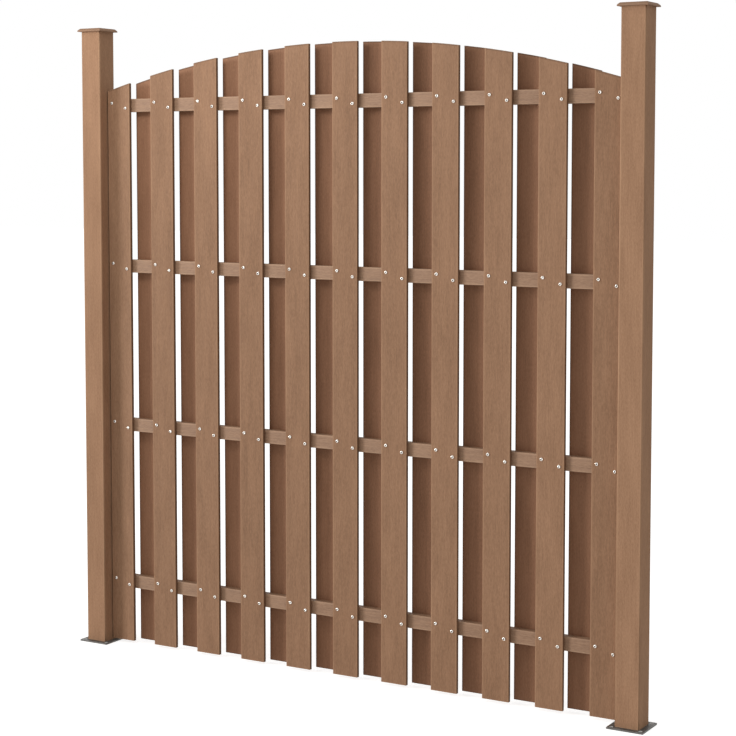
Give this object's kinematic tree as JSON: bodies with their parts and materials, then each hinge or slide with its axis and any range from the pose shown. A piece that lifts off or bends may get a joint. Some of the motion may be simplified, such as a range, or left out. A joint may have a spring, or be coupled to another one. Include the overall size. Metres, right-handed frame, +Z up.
{
  "type": "composite fence panel",
  "caption": "Arched hit-and-miss fence panel of brown wood-composite slats screwed to both faces of horizontal rails, between hollow capped posts on bolt-down steel anchors.",
  "frame": {"origin": "on the ground, midway between the two posts, on the line through their axes", "axes": "+X along the fence to the right as seen from the front, +Y from the front to the back, +Z up"},
  "size_m": [1.885, 0.105, 1.91],
  "materials": {
    "slat_composite": "brown wood-plastic composite, matt, brushed grain along the board",
    "rail_composite": "brown wood-plastic composite, matt, brushed grain along the rail",
    "post_composite": "brown wood-plastic composite, matt, fine upright grain",
    "cap_composite": "moulded brown wood-plastic composite, matt",
    "anchor_steel": "dark grey coated steel plate and tube, satin",
    "bracket_steel": "dark grey coated steel, satin",
    "screw_steel": "bright stainless steel"
  },
  "bodies": {
    "root": {"front_slat_01": "slat_composite", "front_slat_02": "slat_composite", "front_slat_03": "slat_composite", "front_slat_04": "slat_composite", "front_slat_05": "slat_composite", "front_slat_06": "slat_composite", "front_slat_07": "slat_composite", "front_slat_08": "slat_composite", "front_slat_09": "slat_composite", "front_slat_10": "slat_composite", "front_slat_11": "slat_composite", "front_slat_screws_1": "screw_steel", "front_slat_screws_2": "screw_steel", "front_slat_screws_3": "screw_steel", "front_slat_screws_4": "screw_steel", "left_bracket_1": "bracket_steel", "left_bracket_2": "bracket_steel", "left_bracket_3": "bracket_steel", "left_bracket_4": "bracket_steel", "left_bracket_screws": "screw_steel", "left_post": "post_composite", "left_post_anchor": "anchor_steel", "left_post_cap": "cap_composite", "post_screws": "screw_steel", "rail_1": "rail_composite", "rail_2": "rail_composite", "rail_3": "rail_composite", "rail_4": "rail_composite", "rear_slat_01": "slat_composite", "rear_slat_02": "slat_composite", "rear_slat_03": "slat_composite", "rear_slat_04": "slat_composite", "rear_slat_05": "slat_composite", "rear_slat_06": "slat_composite", "rear_slat_07": "slat_composite", "rear_slat_08": "slat_composite", "rear_slat_09": "slat_composite", "rear_slat_10": "slat_composite", "rear_slat_screws_1": "screw_steel", "rear_slat_screws_2": "screw_steel", "rear_slat_screws_3": "screw_steel", "rear_slat_screws_4": "screw_steel", "right_bracket_1": "bracket_steel", "right_bracket_2": "bracket_steel", "right_bracket_3": "bracket_steel", "right_bracket_4": "bracket_steel", "right_bracket_screws": "screw_steel", "right_post": "post_composite", "right_post_anchor": "anchor_steel", "right_post_cap": "cap_composite"}
  },
  "joints": []
}
